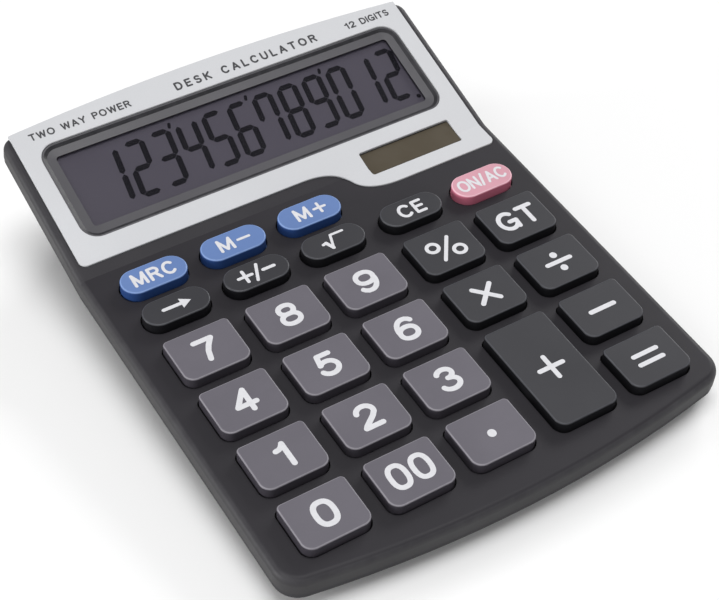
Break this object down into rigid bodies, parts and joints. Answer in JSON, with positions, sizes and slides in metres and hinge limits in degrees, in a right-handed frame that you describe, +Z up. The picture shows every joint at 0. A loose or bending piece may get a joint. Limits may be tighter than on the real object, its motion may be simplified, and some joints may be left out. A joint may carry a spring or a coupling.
{
  "type": "desk calculator",
  "caption": "Desk calculator with a folded-up display section, a silver display plate, a solar window, sprung keys and a sliding battery door under a wedge-shaped base.",
  "frame": {"origin": "centre of the footprint, on the table plane under the rubber feet", "axes": "X to the user's right, Y from the user to the display, Z up"},
  "size_m": [0.1046, 0.1324, 0.0308],
  "materials": {
    "casing_plastic": "fine-grained matt dark grey moulding",
    "cover_plastic": "fine-grained matt dark grey moulding",
    "silver_plate": "fine satin silver",
    "adhesive_sheet": "thin matt sheet",
    "bezel_plastic": "satin grey",
    "clear_plastic": "clear polished",
    "tinted_plastic": "brown tinted window, semi-gloss",
    "lcd_glass": "dark grey violet, semi-gloss",
    "reflector_foil": "matt foil",
    "soft_rubber": "matt",
    "keypad_rubber": "matt silicone",
    "circuit_board": "green solder mask",
    "screw_steel": "zinc plated",
    "screw_black": "black oxide",
    "cell_steel": "nickel plated",
    "contact_metal": "nickel plated",
    "solar_glass": "brown with fine stripes",
    "chip_resin": "glossy black resin",
    "capacitor_can": "dark blue sleeve",
    "diode_glass": "orange glass",
    "cable_film": "amber film",
    "wire_red": "matt",
    "wire_black": "matt",
    "key_grey": "satin grey",
    "key_black": "satin black",
    "key_blue": "satin blue",
    "key_pink": "satin pink"
  },
  "bodies": {
    "casing": {"front_casing": "casing_plastic", "rear_cover": "cover_plastic", "display_plate": "silver_plate", "plate_adhesive": "adhesive_sheet", "display_bezel": "bezel_plastic", "display_lens": "clear_plastic", "lcd_panel": "lcd_glass", "lcd_reflector": "reflector_foil", "lcd_connector": "soft_rubber", "display_board": "circuit_board", "key_board": "circuit_board", "rubber_keypad": "keypad_rubber", "board_screws": "screw_steel", "display_board_screws": "screw_steel", "case_screws": "screw_black", "rubber_feet": "soft_rubber", "battery": "cell_steel", "positive_contact": "contact_metal", "negative_contact": "contact_metal", "solar_window": "tinted_plastic", "solar_cell": "solar_glass", "chip_blob": "chip_resin", "capacitor": "capacitor_can", "diode": "diode_glass", "chip_resistors": "chip_resin", "ribbon_cable": "cable_film", "battery_wire_plus": "wire_red", "battery_wire_minus": "wire_black", "solar_wire_plus": "wire_red", "solar_wire_minus": "wire_black"},
    "key_mrc_cap": {"key_mrc": "key_blue"},
    "key_memory_minus_cap": {"key_memory_minus": "key_blue"},
    "key_memory_plus_cap": {"key_memory_plus": "key_blue"},
    "key_backspace_cap": {"key_backspace": "key_black"},
    "key_sign_cap": {"key_sign": "key_black"},
    "key_root_cap": {"key_root": "key_black"},
    "key_ce_cap": {"key_ce": "key_black"},
    "key_on_ac_cap": {"key_on_ac": "key_pink"},
    "key_7_cap": {"key_7": "key_grey"},
    "key_8_cap": {"key_8": "key_grey"},
    "key_9_cap": {"key_9": "key_grey"},
    "key_percent_cap": {"key_percent": "key_black"},
    "key_gt_cap": {"key_gt": "key_black"},
    "key_4_cap": {"key_4": "key_grey"},
    "key_5_cap": {"key_5": "key_grey"},
    "key_6_cap": {"key_6": "key_grey"},
    "key_times_cap": {"key_times": "key_black"},
    "key_divide_cap": {"key_divide": "key_black"},
    "key_1_cap": {"key_1": "key_grey"},
    "key_2_cap": {"key_2": "key_grey"},
    "key_3_cap": {"key_3": "key_grey"},
    "key_minus_cap": {"key_minus": "key_black"},
    "key_0_cap": {"key_0": "key_grey"},
    "key_00_cap": {"key_00": "key_grey"},
    "key_point_cap": {"key_point": "key_grey"},
    "key_plus_cap": {"key_plus": "key_black"},
    "key_equals_cap": {"key_equals": "key_black"},
    "door": {"battery_door": "cover_plastic"}
  },
  "joints": [
    {"name": "key_mrc_press", "type": "slide", "parent": "casing", "child": "key_mrc_cap", "axis": [0, 0.0872, -0.9962], "range_m": [0, 0.0012], "stiffness_N_per_m": 300, "springref_m": -0.001, "deforming": ["rubber_keypad"]},
    {"name": "key_memory_minus_press", "type": "slide", "parent": "casing", "child": "key_memory_minus_cap", "axis": [0, 0.0872, -0.9962], "range_m": [0, 0.0012], "stiffness_N_per_m": 300, "springref_m": -0.001},
    {"name": "key_memory_plus_press", "type": "slide", "parent": "casing", "child": "key_memory_plus_cap", "axis": [0, 0.0872, -0.9962], "range_m": [0, 0.0012], "stiffness_N_per_m": 300, "springref_m": -0.001},
    {"name": "key_backspace_press", "type": "slide", "parent": "casing", "child": "key_backspace_cap", "axis": [0, 0.0872, -0.9962], "range_m": [0, 0.0012], "stiffness_N_per_m": 300, "springref_m": -0.001},
    {"name": "key_sign_press", "type": "slide", "parent": "casing", "child": "key_sign_cap", "axis": [0, 0.0872, -0.9962], "range_m": [0, 0.0012], "stiffness_N_per_m": 300, "springref_m": -0.001},
    {"name": "key_root_press", "type": "slide", "parent": "casing", "child": "key_root_cap", "axis": [0, 0.0872, -0.9962], "range_m": [0, 0.0012], "stiffness_N_per_m": 300, "springref_m": -0.001},
    {"name": "key_ce_press", "type": "slide", "parent": "casing", "child": "key_ce_cap", "axis": [0, 0.0872, -0.9962], "range_m": [0, 0.0012], "stiffness_N_per_m": 300, "springref_m": -0.001},
    {"name": "key_on_ac_press", "type": "slide", "parent": "casing", "child": "key_on_ac_cap", "axis": [0, 0.0872, -0.9962], "range_m": [0, 0.0012], "stiffness_N_per_m": 300, "springref_m": -0.001},
    {"name": "key_7_press", "type": "slide", "parent": "casing", "child": "key_7_cap", "axis": [0, 0.0872, -0.9962], "range_m": [0, 0.0012], "stiffness_N_per_m": 300, "springref_m": -0.001},
    {"name": "key_8_press", "type": "slide", "parent": "casing", "child": "key_8_cap", "axis": [0, 0.0872, -0.9962], "range_m": [0, 0.0012], "stiffness_N_per_m": 300, "springref_m": -0.001},
    {"name": "key_9_press", "type": "slide", "parent": "casing", "child": "key_9_cap", "axis": [0, 0.0872, -0.9962], "range_m": [0, 0.0012], "stiffness_N_per_m": 300, "springref_m": -0.001},
    {"name": "key_percent_press", "type": "slide", "parent": "casing", "child": "key_percent_cap", "axis": [0, 0.0872, -0.9962], "range_m": [0, 0.0012], "stiffness_N_per_m": 300, "springref_m": -0.001},
    {"name": "key_gt_press", "type": "slide", "parent": "casing", "child": "key_gt_cap", "axis": [0, 0.0872, -0.9962], "range_m": [0, 0.0012], "stiffness_N_per_m": 300, "springref_m": -0.001},
    {"name": "key_4_press", "type": "slide", "parent": "casing", "child": "key_4_cap", "axis": [0, 0.0872, -0.9962], "range_m": [0, 0.0012], "stiffness_N_per_m": 300, "springref_m": -0.001},
    {"name": "key_5_press", "type": "slide", "parent": "casing", "child": "key_5_cap", "axis": [0, 0.0872, -0.9962], "range_m": [0, 0.0012], "stiffness_N_per_m": 300, "springref_m": -0.001},
    {"name": "key_6_press", "type": "slide", "parent": "casing", "child": "key_6_cap", "axis": [0, 0.0872, -0.9962], "range_m": [0, 0.0012], "stiffness_N_per_m": 300, "springref_m": -0.001},
    {"name": "key_times_press", "type": "slide", "parent": "casing", "child": "key_times_cap", "axis": [0, 0.0872, -0.9962], "range_m": [0, 0.0012], "stiffness_N_per_m": 300, "springref_m": -0.001},
    {"name": "key_divide_press", "type": "slide", "parent": "casing", "child": "key_divide_cap", "axis": [0, 0.0872, -0.9962], "range_m": [0, 0.0012], "stiffness_N_per_m": 300, "springref_m": -0.001},
    {"name": "key_1_press", "type": "slide", "parent": "casing", "child": "key_1_cap", "axis": [0, 0.0872, -0.9962], "range_m": [0, 0.0012], "stiffness_N_per_m": 300, "springref_m": -0.001},
    {"name": "key_2_press", "type": "slide", "parent": "casing", "child": "key_2_cap", "axis": [0, 0.0872, -0.9962], "range_m": [0, 0.0012], "stiffness_N_per_m": 300, "springref_m": -0.001},
    {"name": "key_3_press", "type": "slide", "parent": "casing", "child": "key_3_cap", "axis": [0, 0.0872, -0.9962], "range_m": [0, 0.0012], "stiffness_N_per_m": 300, "springref_m": -0.001},
    {"name": "key_minus_press", "type": "slide", "parent": "casing", "child": "key_minus_cap", "axis": [0, 0.0872, -0.9962], "range_m": [0, 0.0012], "stiffness_N_per_m": 300, "springref_m": -0.001},
    {"name": "key_0_press", "type": "slide", "parent": "casing", "child": "key_0_cap", "axis": [0, 0.0872, -0.9962], "range_m": [0, 0.0012], "stiffness_N_per_m": 300, "springref_m": -0.001},
    {"name": "key_00_press", "type": "slide", "parent": "casing", "child": "key_00_cap", "axis": [0, 0.0872, -0.9962], "range_m": [0, 0.0012], "stiffness_N_per_m": 300, "springref_m": -0.001},
    {"name": "key_point_press", "type": "slide", "parent": "casing", "child": "key_point_cap", "axis": [0, 0.0872, -0.9962], "range_m": [0, 0.0012], "stiffness_N_per_m": 300, "springref_m": -0.001},
    {"name": "key_plus_press", "type": "slide", "parent": "casing", "child": "key_plus_cap", "axis": [0, 0.0872, -0.9962], "range_m": [0, 0.0012], "stiffness_N_per_m": 300, "springref_m": -0.001},
    {"name": "key_equals_press", "type": "slide", "parent": "casing", "child": "key_equals_cap", "axis": [0, 0.0872, -0.9962], "range_m": [0, 0.0012], "stiffness_N_per_m": 300, "springref_m": -0.001},
    {"name": "battery_door_slide", "type": "slide", "parent": "casing", "child": "door", "axis": [0, 1, 0], "range_m": [0, 0.024]}
  ]
}
